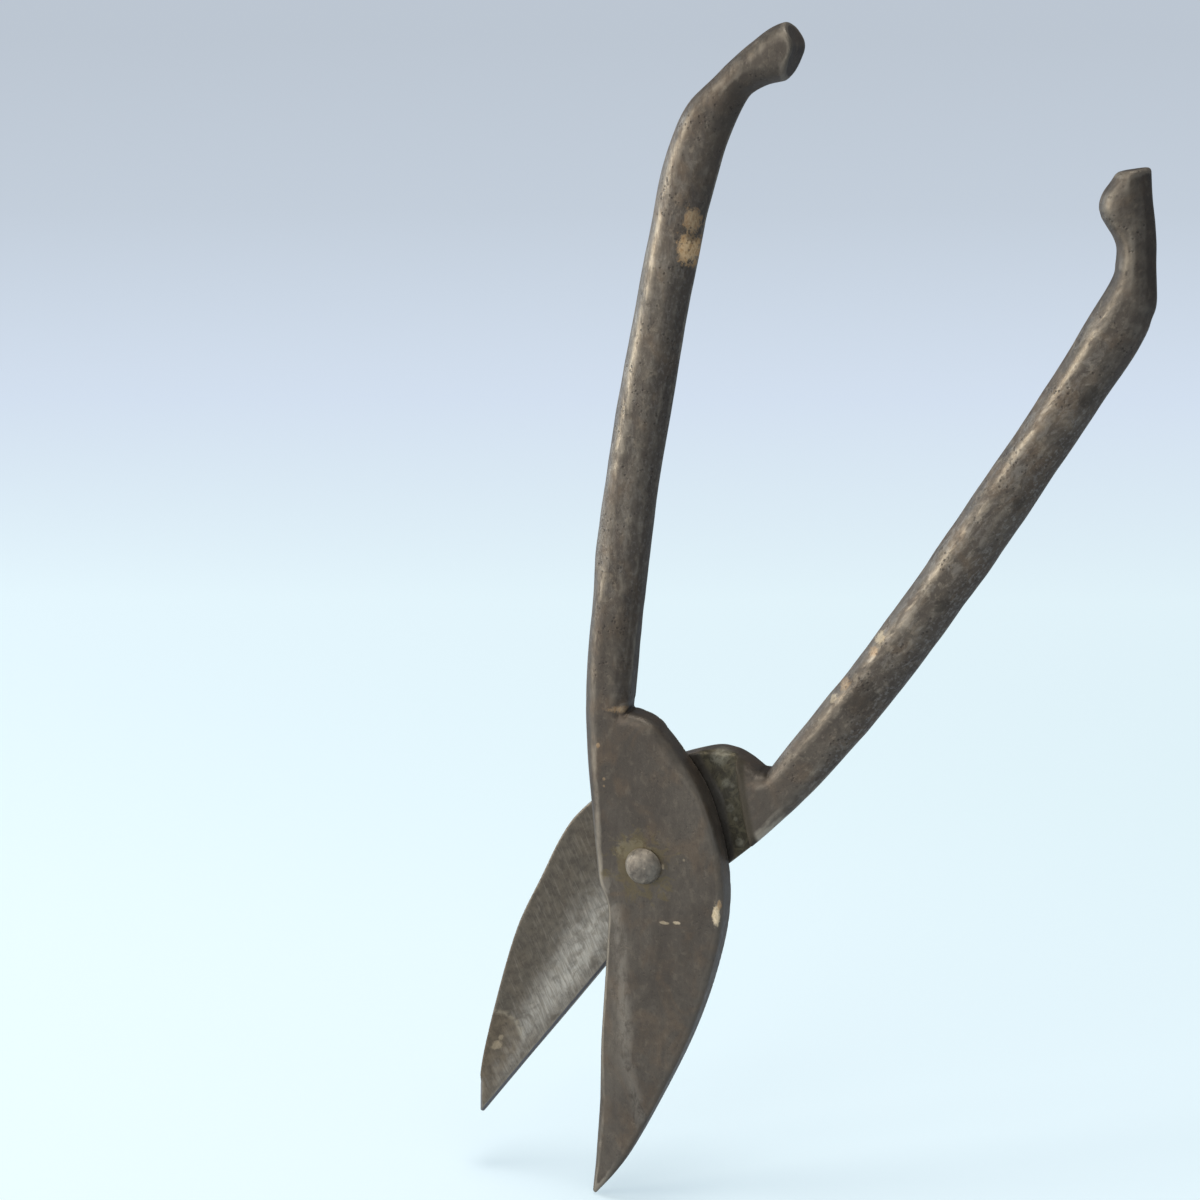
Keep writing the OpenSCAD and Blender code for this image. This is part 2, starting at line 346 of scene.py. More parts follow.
def gradient(field, points, offset=0.12):
    """Unit normals of the field and the size of its slope."""
    total = np.zeros_like(points)
    for signs in ((1, 1, 1), (1, -1, -1), (-1, 1, -1), (-1, -1, 1)):
        signs = np.array(signs, float)
        total += signs * field(*(points + offset * signs).T)[:, None]
    size = np.linalg.norm(total, axis=1, keepdims=True)
    return total / np.maximum(size, 1e-9), size[:, 0] / (4 * offset)


def settled_mesh(field, low, high, cell, rounds):
    """Meshes the field, evens the mesh out and puts every vertex back on the surface."""
    points, quads = surface_nets(field, low, high, cell)
    edges, degree = mesh_edges(quads, len(points))
    for k in range(rounds):
        normals, slope = gradient(field, points)
        if k:
            move = average(points, edges, degree) - points
            points = points + 0.6 * (move - (move * normals).sum(1, keepdims=True) * normals)
        value = field(*points.T)
        points = points - normals * np.clip(value / np.maximum(slope, 0.5), -0.3, 0.3)[:, None]
    return points, quads, gradient(field, points)[0], edges, degree


def proudness(points, normals, edges, degree, rounds):
    """How far each vertex stands proud of its smoothed neighbourhood, along its normal."""
    smoothed = points
    for _ in range(rounds):
        smoothed = average(smoothed, edges, degree)
    return ((points - smoothed) * normals).sum(1)


def make_object(name, points, quads, attributes):
    """A smooth quad mesh from points in metres, with its point attributes."""
    mesh = bpy.data.meshes.new(name)
    mesh.vertices.add(len(points))
    mesh.vertices.foreach_set("co", points.astype(np.float32).ravel())
    mesh.loops.add(len(quads) * 4)
    mesh.loops.foreach_set("vertex_index", quads.astype(np.int32).ravel())
    mesh.polygons.add(len(quads))
    mesh.polygons.foreach_set("loop_start", np.arange(0, len(quads) * 4, 4, dtype=np.int32))
    mesh.update(calc_edges=True)
    mesh.validate()
    mesh.polygons.foreach_set("use_smooth", np.ones(len(mesh.polygons), bool))
    for key, data in attributes.items():
        data = np.asarray(data, np.float32)
        kind, field = ("FLOAT_VECTOR", "vector") if data.ndim == 2 else ("FLOAT", "value")
        mesh.attributes.new(key, kind, "POINT").data.foreach_set(field, data.ravel())
    mesh.update()
    return link(name, mesh)


def link(name, data):
    made = bpy.data.objects.new(name, data)
    bpy.context.scene.collection.objects.link(made)
    return made


# ---------------------------------------------------------------- one forging
def half_outline(part):
    """The closed outline of one half in plan, and the centre line of its handle."""
    back = curve(part["back"] + [(x, -share * part["blade"]) for x, share in BLADE_BACK], 8)
    jaw = curve(JAW, 8)
    stations = np.array(HANDLE)
    stations[:, 0] -= part["shift"]
    stations[:, 2] += part["widen"]
    line = stations[:, :2]
    heading = np.gradient(line, axis=0)
    heading /= np.linalg.norm(heading, axis=1, keepdims=True)
    reach = np.stack([heading[:, 1], -heading[:, 0]], 1) * stations[:, 2:] / 2
    left_count, right_count = part["stations"]
    left, right = (line - reach)[:left_count], (line + reach)[:right_count]
    left = curve(np.vstack([jaw[-1:], left, part["knob_left"]]), 8)
    right = curve(np.vstack([part["knob_right"], right[::-1]]), 8)
    point = [(-16.3, -part["blade"] + .1), (-16.7, -part["blade"] + .7)]
    return np.vstack([jaw, left[1:], curve(part["knob_end"], 6), right, back, point]), line


def chamfer(length, right, shoulder, sizes):
    """Chamfer size blended from left to right, and to its own size at the shoulder."""
    left_size, right_size, shoulder_size = sizes
    size = (np.interp(length, CHAMFER_AT, left_size) * (1 - right)
            + np.interp(length, CHAMFER_AT, right_size) * right)
    return size * (1 - shoulder) + shoulder_size * shoulder


class Half:
    """The distance field of one half in its own frame, and the plan fields behind it."""

    def __init__(self, rear):
        self.rear = rear
        part = REAR if rear else FRONT
        outline, line = half_outline(part)
        xs, zs = np.arange(-26.0, 44.0, PLAN_CELL), np.arange(-106.0, 228.0, PLAN_CELL)
        self.outline = PlanField(xs, zs, polygon_field(outline, xs, zs))
        # The thick root and handle are all that lies above the slanting step
        thick = np.vstack([curve(STEP_WALL + [part["wall_end"]], 6), part["wall_turn"],
                           [(60, 60), (60, 240), (-40, 240), (-40, 18)]])
        self.thick = PlanField(xs, zs, polygon_field(thick, xs, zs))
        # Length along the spine is set to read 42 at the handle station z = 42
        spine = curve(np.vstack([SPINE_START, line, SPINE_END]), 4)
        spans = np.linalg.norm(np.diff(spine, axis=0), axis=1)
        arc = np.concatenate([[0], np.cumsum(spans)])
        height = spine[:, 1]
        arc = arc - arc[np.argmin(np.abs(height - 42) + 50 * (height < 35))] + 42
        along, across = spine_fields(spine, arc, spans, xs, zs)
        self.along, self.across = PlanField(xs, zs, along), PlanField(xs, zs, across)
        self.turn_at = arc[:-1] + spans / 2
        self.turn = np.arctan2(np.diff(spine[:, 0]), np.diff(spine[:, 1]))

    def heading(self, length):
        """Lean of the spine from upright, in radians."""
        return np.interp(length, self.turn_at, self.turn)

    def grind(self, x, y, z):
        """Distance outside the ground face on the outer side, negative in the steel."""
        return (-(math.sin(GRIND_ANGLE) * (x - np.interp(z, *GRIND_LINE))
                  + math.cos(GRIND_ANGLE) * (y - OUTER_FACE)) - 3.0 * ease(z, -14, 3))

    def end_cut(self, x, z):
        """The blunt end faces of the knob: one plane at the rear, two at the front."""
        if self.rear:
            return .763 * x + .646 * z - 167.9
        return (soft_max(.8774 * x + .480 * z - 136.5, .931 * x - .365 * z + 43.8, 1.8)
                - 300 * (z < 150))

    def field(self, x, y, z):
        """Signed distance, negative in the steel."""
        plan_x, plan_z = np.broadcast_arrays(x, z)
        outline, thick = self.outline(plan_x, plan_z), self.thick(plan_x, plan_z)
        across = self.across(plan_x, plan_z)
        # The plates are profiled by height, the bar along its own line
        bar = ease(plan_z, 30, 46)
        length = plan_z * (1 - bar) + self.along(plan_x, plan_z) * bar
        right = ease(across, -1.2, 1.2)
        shoulder = ease(plan_x, -8.0, -5.5) * ease(plan_z, 45.2, 43.4)
        front_cut = chamfer(length, right, shoulder, FRONT_CHAMFER)
        back_cut = chamfer(length, right, shoulder, BACK_CHAMFER)
        rounding = np.interp(length, *ROUNDING) + 1.1 * shoulder * ease(plan_z, 22, 34)
        flat_rounding = np.minimum(rounding, 2.0)
        # The flats are a little crowned
        fall = np.interp(length, *CROWN) * np.clip(across / 7, -1, 1) ** 2
        front = np.interp(length, FLAT_AT, FRONT_FLAT) - y + fall
        back = y - np.interp(length, FLAT_AT, BACK_FLAT) + fall
        # The back is the thin plate's mating face joined to the thick root's flat
        back_face = soft_min(y + MATING_GAP, soft_max(thick, back, 1.5),
                             np.where(thick > 4, .05, 1.5))
        front_chamfer = (outline + front + front_cut) * SQRT_HALF
        front_side = soft_max(soft_max(outline, front_chamfer, rounding), front, flat_rounding)
        # Plate edges are crisp, save for a rounder brow on the rear half's upper right
        brow = .3
        if self.rear:
            brow = .3 + 1.9 * ease(plan_x, 3.5, 6.5) * ease(plan_z, 30, 36)
        back_rounding = brow + (flat_rounding - brow) * ease(thick, -.2, -2.0)
        back_chamfer = (outline + back + back_cut) * SQRT_HALF
        back_side = soft_max(soft_max(outline, back_chamfer, rounding), back_face,
                             back_rounding)
        # Narrow bevel along the cutting edge on the mating side
        bevel_off = 3.0 * (1 - ease(across, -1.0, -4.0)) + 3.0 * ease(plan_z, -22, -8)
        back_side = soft_max(back_side, (outline + y + 1.0) * SQRT_HALF - bevel_off, .12)
        body = soft_max(front_side, back_side, .3)
        body = soft_max(body, self.grind(x, y, z), np.interp(z, *GRIND_ROUNDING))
        body = soft_max(body, self.end_cut(x, z), 1.0)
        return soft_max(body, BORE_RADIUS - np.sqrt(x * x + z * z), .3)

    def place(self, points):
        """From the half's own frame to the scene, in metres."""
        if self.rear:
            x, y, z = -points[:, 0], -points[:, 1], points[:, 2]
            c, s = math.cos(OPEN), math.sin(OPEN)
            points = np.stack([c * x + s * z, y, -s * x + c * z], 1)
        return (points + PIVOT) / MM_PER_M


def hammer_relief(points, normals, length, mating, seed):
    """Height of the relief left by the hammer and by wear, mostly below the surface."""
    on_handle = ease(length, 38, 75)
    amount = (1 - mating) * (.35 + .65 * on_handle)
    wave = (.17 * noise(points, (15, 15, 19), 1 + seed)
            + .10 * noise(points, (6.5, 6.5, 9), 2 + seed)
            + .045 * noise(points, (3.0, 3.0, 4.2), 3 + seed))
    wave = wave * (1 - .72 * ease(length, 36, 20))
    # The outline itself wanders a little along the bar
    sides = ease(np.abs(normals[:, 0]), .5, .9) * on_handle
    wave = wave + sides * .20 * noise(points, (40, 40, 11), 8 + seed)
    return amount * wave - .05 * amount - .01 * (1 - mating)


def rear_marks(x, y, z, thick):
    """Masks of the marks on the rear half's inner side, among them a painted shadow below the
    front plate's edge.
    """
    band = bell(x, np.interp(z, *RUB_CENTRE), np.interp(z, *RUB_WIDTH))
    above = z - np.interp(x, *PATINA_TOP)
    patina = ease(above, .6, -.8) * ease(x - np.interp(z, *PATINA_LEFT), -1.0, 1.6)
    under = np.interp(x, *PLATE_EDGE_LINE) - z
    return dict(band=band * np.interp(z, *RUB_STRENGTH), patina=patina,
                arcl=bell(above, .5, .75) * ease(x, -11, -8),
                plate_shadow=ease(under, -.9, 1.3) * ease(under, 11, 5),
                olive=ease(under, 1.5, -.5) * ease(thick, -.6, .2) * ease(y, -1.5, -.4))


def front_marks(x, z, normal_y):
    """The bright band beside the front half's grind; the rear's marks are left empty."""
    band = (bell(x, np.interp(z, *GRIND_LINE) - 2.0, 2.3) * (z < -4)
            * ease(normal_y, -.6, -.85) * ease(z, -100, -70))
    return dict(band=band, **{key: np.zeros(len(x)) for key in ("patina", "arcl", "plate_shadow",
                                                                "olive")})


def make_half(name, rear):
    half = Half(rear)
    points, quads, normals, edges, degree = settled_mesh(
        half.field, *FORGING_BOX, cell=FORGING_CELL, rounds=5)
    x, y, z = points.T
    normal_y = normals[:, 1]
    outline, thick = half.outline(x, z), half.thick(x, z)
    length, across = half.along(x, z), half.across(x, z)
    mating = ease(normal_y, .8, .97) * ease(np.abs(y + MATING_GAP), .25, .05)
    relief = hammer_relief(points, normals, length, mating, seed=5 if rear else 0)
    own = points + normals * relief[:, None]
    if not rear:
        own[:, 2] = np.minimum(own[:, 2], FRONT_TOP)
    # Degrees round the bar, from the flat that faces the camera toward its right
    # in the own frame (front) or its left (rear)
    face = 1.0 if rear else -1.0
    lean = half.heading(length)
    sideways = normals[:, 0] * np.cos(lean) - normals[:, 2] * np.sin(lean)
    around = np.degrees(np.arctan2(sideways * face, normal_y * face))
    on_bar = ease(length, 44, 56)
    marks = rear_marks(x, y, z, thick) if rear else front_marks(x, z, normal_y)
    attributes = dict(
        own=own, side_n=normals,
        edge=np.clip(proudness(points, normals, edges, degree, 6) / .10, -1, 1),
        edge_wide=np.clip(proudness(points, normals, edges, degree, 40) / .5, -1, 1),
        mating=mating,
        ground=ease(half.grind(x, y, z), -.22, -.02) * (z < 2),
        wall=ease(np.abs(thick + .5), 2.6, 1.2) * ease(y, -.4, .6) * (z < 60),
        s_len=length, u_off=across, rim_d=-outline, around=around,
        arris=(bell(around, 24, 10.0) * on_bar * (1 - .65 * ease(length, 188, 206))
               * (.55 + .45 * ease(length, 62, 84))),
        other=bell(around, -24, 11.0) * on_bar,
        jaw_side=ease(across, -3.0, -6.0), **marks)
    return make_object(name, half.place(own), quads, attributes)


# ---------------------------------------------------------------- rivet and washer
def rivet_field(x, y, z):
    """A shank with a domed head at the front (-Y) and a domed tail at the back."""
    r = np.sqrt(x * x + z * z)
    shank = soft_max(r - 3.5, np.abs(y - .2) - 10.5, .2)
    head_dome = -11.45 + r * r / 19.0
    head = soft_max(soft_max(r - 5.06, head_dome - y, 2.3), y + 8.02, .25)
    tail_dome = 12.12 - r * r / 15.0
    tail = soft_max(soft_max(r - 5.4, y - tail_dome, 2.2), 9.68 - y, .3)
    return soft_min(soft_min(shank, head, .05), tail, .05)


def washer_field(x, y, z):
    r = np.sqrt(x * x + z * z)
    return soft_max(soft_max(r - 8.42, np.abs(y - 8.87) - .76, .7), 3.6 - r, .3)


def make_round(name, field, low, high, cell, seed, relief, ends_only):
    """A round piece roughened by the given relief, all over or only toward its ends."""
    points, quads, normals, edges, degree = settled_mesh(field, low, high, cell, rounds=4)
    proud = proudness(points, normals, edges, degree, 8)
    free = ease(np.abs(points[:, 1]), 8.3, 9.2) if ends_only else 1.0
    wave = (.55 * noise(points, 3.1, seed) + .3 * noise(points, 1.5, seed + 1)
            + .15 * noise(points, .8, seed + 2))
    own = points + normals * (free * (relief * wave - relief * .45))[:, None]
    attributes = dict(own=own, side_n=normals, edge=np.clip(proud / .08, -1, 1),
                      rad=np.hypot(points[:, 0], points[:, 2]))
    return make_object(name, (own + PIVOT) / MM_PER_M, quads, attributes)


# ---------------------------------------------------------------- shader writing
def srgb(*levels):
    """Linear colour from 0..255 sRGB levels."""
    return tuple(c / 12.92 if c <= .04045 else ((c + .055) / 1.055) ** 2.4
                 for c in (level / 255.0 for level in levels))


class Value:
    """A node output that can be used in arithmetic; each operation adds a node."""

    def __init__(self, shader, socket):
        self.shader, self.socket = shader, socket

    def __add__(self, other): return self.shader.math("ADD", self, other)
    def __radd__(self, other): return self.shader.math("ADD", other, self)
    def __sub__(self, other): return self.shader.math("SUBTRACT", self, other)
    def __rsub__(self, other): return self.shader.math("SUBTRACT", other, self)
    def __mul__(self, other): return self.shader.math("MULTIPLY", self, other)
    def __truediv__(self, other): return self.shader.math("DIVIDE", self, other)
    def max(self, other): return self.shader.math("MAXIMUM", self, other)
    def inverse(self): return self.shader.math("SUBTRACT", 1.0, self, clamp=True)

    def ease(self, start, end, first=0.0, last=1.0):
        """Smooth step from first at start to last at end."""
        return self.shader.node("ShaderNodeMapRange", {0: self, 1: start, 2: end, 3: first,
                                                       4: last}, interpolation_type="SMOOTHSTEP")

    def two_tone(self, dark, light, start, end):
        return self.shader.mix(self.ease(start, end), srgb(*dark), srgb(*light))

    def scaled(self, factors):
        return self.shader.node("ShaderNodeVectorMath", {0: self, 1: factors},
                                operation="MULTIPLY")

    def sized(self, size):
        """The point measured in features of a size, one number or one to each axis."""
        size = size if isinstance(size, tuple) else (size,) * 3
        return self.scaled(tuple(1.0 / k for k in size))

    def split(self):
        x = self.shader.node("ShaderNodeSeparateXYZ", {0: self})
        return [Value(self.shader, socket) for socket in x.socket.node.outputs]

    def noise(self, size, detail=3.0, rough=.55, warp=0.0):
        """Noise with features of about the given size in millimetres, as 0..1."""
        return self.shader.node("ShaderNodeTexNoise", {
            "Vector": self.sized(size), "Scale": 1.0, "Detail": detail, "Roughness": rough,
            "Distortion": warp})

    def cells(self, size):
        return self.shader.node("ShaderNodeTexVoronoi", {"Vector": self.sized(size),
                                                         "Scale": 1.0}, "Distance")

    def blob(self, centre, radii, noise, ragged, soft):
        """A ragged patch about a centre, in the half's own millimetres."""
        offset = self.shader.node("ShaderNodeVectorMath", {0: self, 1: centre},
                                  operation="SUBTRACT")
        distance = self.shader.node("ShaderNodeVectorMath", {0: offset.sized(radii)}, "Value",
                                    operation="LENGTH")
        distance = distance + (noise - .5) * (2 * ragged)
        return distance.ease(1.0 - soft, 1.0 + soft, first=1.0, last=0.0)


class Shader:
    """A material under construction: its colour, metal and rough are built up in layers."""

    def __init__(self, name):
        self.material = bpy.data.materials.new(name)
        self.material.use_nodes = True
        self.tree = self.material.node_tree
        self.tree.nodes.clear()

    def node(self, kind, inputs, output=0, **settings):
        node = self.tree.nodes.new(kind)
        for key, value in settings.items():
            setattr(node, key, value)
        for key, value in inputs.items():
            if isinstance(value, Value):
                self.tree.links.new(value.socket, node.inputs[key])
            else:
                node.inputs[key].default_value = value
        return Value(self, node.outputs[output])

    def math(self, operation, first, second, clamp=False):
        return self.node("ShaderNodeMath", {0: first, 1: second}, operation=operation,
                         use_clamp=clamp)

    def attribute(self, name, output="Fac"):
        return self.node("ShaderNodeAttribute", {}, output, attribute_type="GEOMETRY",
                         attribute_name=name)

    def mix(self, amount, below, above, blend="MIX"):
        """Mixes two colours, each a Value or a linear colour."""
        below, above = (colour if isinstance(colour, Value) else tuple(colour) + (1.0,)
                        for colour in (below, above))
        return self.node("ShaderNodeMix", {0: amount, 6: below, 7: above}, 2,
                         data_type="RGBA", blend_type=blend, clamp_factor=True)

    def paint(self, mask, colour, strength=None, within=None):
        """Lays a colour, a Value or sRGB levels, on by mask times strength times within."""
        for factor in (strength, within):
            if factor is not None:
                mask = mask * factor
        colour = colour if isinstance(colour, Value) else srgb(*colour)
        self.colour = self.mix(mask, self.colour, colour)

    def output(self, surface):
        end = self.tree.nodes.new("ShaderNodeOutputMaterial")
        self.tree.links.new(surface.socket, end.inputs[0])
        return self.material

    def finish(self, height, distance):
        bump = self.node("ShaderNodeBump", {"Strength": 1.0, "Distance": distance,
                                            "Height": height})
        return self.output(self.node("ShaderNodeBsdfPrincipled", {
            "Base Color": self.colour, "Metallic": self.metal, "Roughness": self.rough,
            "Specular IOR Level": .5, "Normal": bump}))


# ---------------------------------------------------------------- forged steel
# Colours of the spots: a darker and a lighter tone, or one tone for the dark stains
TAN = (176, 140, 96), (214, 184, 142)
CREAM = (196, 178, 144), (226, 208, 176)
# Painted highlight specks
HIGHLIGHT_SPECK = (98, 95, 80), (142, 138, 120)
DARK = (52, 47, 41)
# Spots in each half's own frame: centre, radii, strength, colours
REAR_SPOTS = [
    ((-1.8, 6, 91.9), (1.3, 9, 2.0), .45, CREAM), ((-3.2, 6, 88.2), (1.1, 9, 1.4), .30, TAN),
    ((-3.9, 6, 76.0), (1.3, 9, 1.8), .32, TAN), ((-4.4, 6, 71.2), (.9, 9, 1.4), .35, CREAM),
    ((-6.0, 0, -77.3), (1.1, 2, 1.6), .28, CREAM), ((-5.2, 0, -74.6), (.7, 2, .8), .25, CREAM),
    # Painted highlights: pale glints on the rear's inner face along the wall of the root, the
    # largest on the rounded edge of the shoulder
    ((6.0, 0, 35.4), (2.2, 4, 2.9), .60, HIGHLIGHT_SPECK), ((.0, 0, 30.9), (1.2, 2, 1.4), .50, HIGHLIGHT_SPECK),
    ((-1.8, 0, 31.6), (.7, 2, .7), .40, HIGHLIGHT_SPECK), ((-5.5, 0, 26.5), (1.1, 2, 1.2), .45, HIGHLIGHT_SPECK),
    ((-8.6, 0, 25.4), (.6, 2, .6), .40, HIGHLIGHT_SPECK), ((-13.8, 0, 21.5), (1.1, 2, 1.2), .45, HIGHLIGHT_SPECK),
    ((-9.0, 6, 77.0), (3.2, 9, 5.6), .60, DARK), ((3.5, 6, 175.0), (1.9, 9, 3.0), .55, DARK),
    ((-7.3, 6, 110.1), (1.6, 9, 2.0), .60, DARK), ((-3.2, 6, 143.0), (1.4, 9, 1.8), .45, DARK)]
FRONT_SPOTS = [
    ((10.4, -6, 165.1), (2.5, 9, 3.9), 1.0, TAN), ((11.2, -6, 172.4), (1.7, 9, 3.1), .60, TAN),
    ((20.5, -8, -11.6), (.95, 3, 2.9), .95, CREAM), ((21.4, -8, -8.2), (.5, 3, 1.3), .6, TAN),
    ((5.9, -8, -15.5), (1.3, 3, .42), .45, CREAM), ((9.6, -8, -15.0), (1.1, 3, .45), .60, CREAM),
    ((5.5, -8, .3), (.35, 3, .6), .35, CREAM), ((11.4, -8, 3.0), (.3, 3, .3), .25, CREAM),
    ((-13.0, -8, 32.5), (.55, 3, .6), .45, TAN), ((-11.3, -8, 23.2), (.4, 3, .45), .30, TAN),
    ((-11.3, -8, 21.2), (.3, 3, .35), .25, TAN), ((10.9, -6, 168.0), (1.0, 9, 1.2), .55, DARK),
    # Painted highlight: the tan-lit lip of the shoulder ledge
    ((-5.0, -8, 42.7), (4.6, 3, 1.0), .42, TAN)]


def paint_scale(shader, own, cloud, mottle, grain, handle, around, length, rear):
    """The old dark surface: clouds, streaks along the bar and fine mottling."""
    paint = shader.paint
    streak = own.noise(size=(2.4, 2.4, 17), detail=4, rough=.6, warp=.3)
    warm = own.scaled((1, 1, .8)).noise(size=9.0, detail=3, rough=.5, warp=.8)
    calm = .5 + handle * .5                         # the plates are more even than the bars
    shader.colour = cloud.two_tone((81, 74, 66), (97, 90, 81), start=.36, end=.64)
    paint(warm.ease(start=.47, end=.66), (112, 93, 73), strength=.34)
    paint(streak.ease(start=.50, end=.34), (78, 71, 65), strength=.60, within=calm)
    paint(mottle.ease(start=.50, end=.34), (76, 68, 61), strength=.55, within=calm)
    paint(mottle.ease(start=.54, end=.68), (146, 136, 120), strength=.50, within=calm - .2)
    paint(grain.ease(start=.56, end=.70), (158, 148, 132), strength=.34, within=calm - .35)
    paint(grain.ease(start=.46, end=.34), (70, 63, 57), strength=.26)
    # Dents keep their dark scale, the bar's far side is browner
    dents = own.noise(size=(4.5, 4.5, 8), detail=4, rough=.6, warp=.9)
    paint(handle * dents.ease(start=.57, end=.67), (64, 59, 54), strength=.50)
    far_side = handle * around.ease(start=0, end=-40)
    paint(far_side, (84, 74, 66), strength=.30)
    flakes = far_side * grain.ease(start=.50, end=.62) * length.ease(start=190, end=165)
    paint(flakes, (140, 138, 134), strength=.42 if rear else .18)
    # The knobs are darker, and on the front half the root of the bar too
    root = length.ease(start=88, end=62) * (0.0 if rear else 1.0)
    ends = length.ease(start=192, end=206).max(root)
    paint(ends * handle, (58, 51, 44), strength=.34)


def paint_wear(shader, own, mottle, handle, around, length, wall, jaw_side, rear):
    """Rubbed arrises with a painted highlight along the lit one, and bare patches; returns the
    mask of the rubbed, highlighted arris.
    """
    paint = shader.paint
    edge, edge_wide, arris, other = (shader.attribute(key)
                                     for key in ("edge", "edge_wide", "arris", "other"))
    # Rubbed bright in patches along one arris, the one toward the key light, partly wear and
    # partly a painted highlight; faintly along the other
    patches = (own.noise(size=(2.0, 2.0, 6.5), detail=4, rough=.70, warp=.3)
               + own.noise(size=(5, 5, 21), detail=3, rough=.6, warp=.3)) * .5
    rub_highlight = arris * patches.ease(start=.43, end=.57)
    bright = mottle.two_tone((150, 138, 118), (196, 184, 163), start=.4, end=.6)
    paint(rub_highlight, bright, strength=.55)
    paint(other * patches.ease(start=.50, end=.66), (140, 128, 110), strength=.20)
    # Pale bare patches among the scale of the bar
    bare = own.noise(size=(2.2, 2.2, 4.2), detail=6, rough=.74, warp=.5)
    bare = handle * bare.ease(start=.46, end=.64) * around.ease(start=-50, end=5)
    bare = bare * (length.ease(start=205, end=175, first=.3)
                   * length.ease(start=62, end=84))
    paint(bare, (150, 145, 136), strength=.34 if rear else .24)
    # Dark scale left in the corners
    hollow = (edge_wide - (mottle - .5) * .3).ease(start=-.12, end=-.6)
    paint(hollow, (54, 46, 36), strength=.8)
    # Worn arrises: clear along the jaw side, faint round the back
    worn = edge + (own.noise(size=(3, 3, 6), detail=3, rough=.6) - .5) * .9
    worn = worn.ease(start=.30, end=.95)
    amount = (handle * .40 * length.ease(start=206, end=180, first=.35)
              + handle.inverse() * jaw_side * (.70 if rear else .42))
    paint(worn * wall.inverse() * (amount + .08), (180, 171, 154))
    return rub_highlight


def paint_rear_face(shader, own, mottle, band, mating, x, y, z):
    """The exposed inner face of the rear blade; returns its brushed noise."""
    paint = shader.paint
    patina, arc_line, plate_shadow, olive = (shader.attribute(key)
                                      for key in ("patina", "arcl", "plate_shadow", "olive"))
    # Rubbed by the other blade, in slanting brush marks
    paint(mating, mottle.two_tone((88, 81, 71), (105, 98, 86), start=.36, end=.62),
          strength=.72)
    slanted = shader.node("ShaderNodeCombineXYZ", {0: x + z * .45, 1: y, 2: z - x * .45})
    brushed = slanted.noise(size=(7.0, 3, .9), detail=5, rough=.7, warp=.5)
    patches = own.noise(size=(3.5, 3, 5.0), detail=4, rough=.6, warp=.6)
    shine = band * mating * (brushed.ease(start=.34, end=.66)
                             * patches.ease(start=.30, end=.56))
    paint(band * mating * (.34 + patches.ease(start=.34, end=.60) * .22), (186, 180, 168))
    paint(shine, (222, 217, 205), strength=.55)
    brush = mating * brushed.ease(start=.50, end=.68) * z.ease(start=20, end=-20)
    paint(brush, (172, 164, 150), strength=.16)
    shader.rough = shader.rough - mating * .06
    shader.metal = shader.metal + mating * .12
    # Brown patina toward the point, under a curved pale line
    paint(patina * mating, mottle.two_tone((92, 79, 63), (114, 100, 80), start=.36, end=.62),
          strength=.50)
    paint(arc_line * mating * mottle.ease(start=.36, end=.56), (168, 156, 133), strength=.46)
    # Old oil along the wall of the root, and below the front plate's edge a painted shadow of
    # that plate
    oil = own.noise(size=(2.6, 2.6, 3.4), detail=4, rough=.65, warp=.8)
    paint(olive, oil.two_tone((54, 49, 36), (92, 86, 66), start=.40, end=.62), strength=.85)
    # Painted shadow of the front plate's edge: near black, with the metal sheen taken out
    paint(plate_shadow * mating, (30, 26, 20), strength=.85)
    shader.metal = shader.metal * (plate_shadow * .8).inverse()
    return brushed


def paint_spots(shader, own, spots):
    """Lime, rust and lighter specks, some of them painted highlights, rough and dull, and a few
    dark stains.
    """
    ragged = own.noise(size=(1.2, 1.2, 1.7), detail=4, rough=.72, warp=.7)
    for centre, radii, strength, tones in spots:
        mask = own.blob(centre, radii, ragged, ragged=1.25, soft=.30)
        if tones is DARK:
            shader.paint(mask, DARK, strength)
            continue
        shader.paint(mask, ragged.two_tone(*tones, start=.38, end=.60), strength)
        shader.rough = shader.rough.max(mask * (.72 * strength))
        shader.metal = shader.metal * (mask * (.85 * strength)).inverse()


